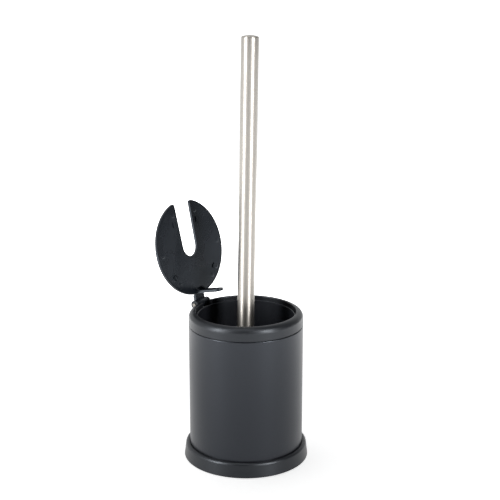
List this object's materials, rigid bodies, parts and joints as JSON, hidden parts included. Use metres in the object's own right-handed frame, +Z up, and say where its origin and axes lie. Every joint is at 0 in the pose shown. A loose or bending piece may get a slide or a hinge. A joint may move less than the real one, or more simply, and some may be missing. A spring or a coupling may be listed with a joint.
{
  "type": "toilet brush holder",
  "caption": "Round black canister with a flared foot and a slotted hinged lid with a lever, holding a brush with a long round steel handle.",
  "frame": {"origin": "centre of the foot, on the surface that the holder stands on", "axes": "+Z up, along the handle; the lid's hinge is at +Y and its axis runs along X; the brush leans slightly towards +X"},
  "size_m": [0.1112, 0.1316, 0.3741],
  "materials": {
    "foot_plastic": "moulded, satin",
    "pad_rubber": "matt",
    "sleeve_coating": "fine satin powder coat on steel",
    "collar_plastic": "moulded, satin",
    "cup_plastic": "moulded, semi-gloss",
    "pin_steel": "plain turned",
    "lid_plastic": "moulded, semi-gloss",
    "handle_steel": "brushed round the tube",
    "core_plastic": "moulded",
    "bristle_nylon": "nylon filaments"
  },
  "bodies": {
    "holder": {"base_ring": "foot_plastic", "non_slip_pad": "pad_rubber", "outer_sleeve": "sleeve_coating", "top_collar": "collar_plastic", "inner_cup": "cup_plastic", "hinge_pin": "pin_steel"},
    "lid": {"lid_cover": "lid_plastic", "lid_plate": "lid_plastic"},
    "brush": {"handle_tube": "handle_steel", "handle_cap": "handle_steel", "handle_insert": "core_plastic", "brush_core": "core_plastic", "side_bristles": "bristle_nylon", "end_bristles": "bristle_nylon"}
  },
  "joints": [
    {"name": "lid_hinge", "type": "hinge", "parent": "holder", "child": "lid", "pos_m": [0, 0.05184, 0.13183], "axis": [1, 0, 0], "range_deg": [0, 103.7]},
    {"name": "brush_lift", "type": "slide", "parent": "holder", "child": "brush", "axis": [0.0262, 0, 0.9997], "range_m": [0, 0.24], "deforming": ["side_bristles", "end_bristles"]}
  ]
}
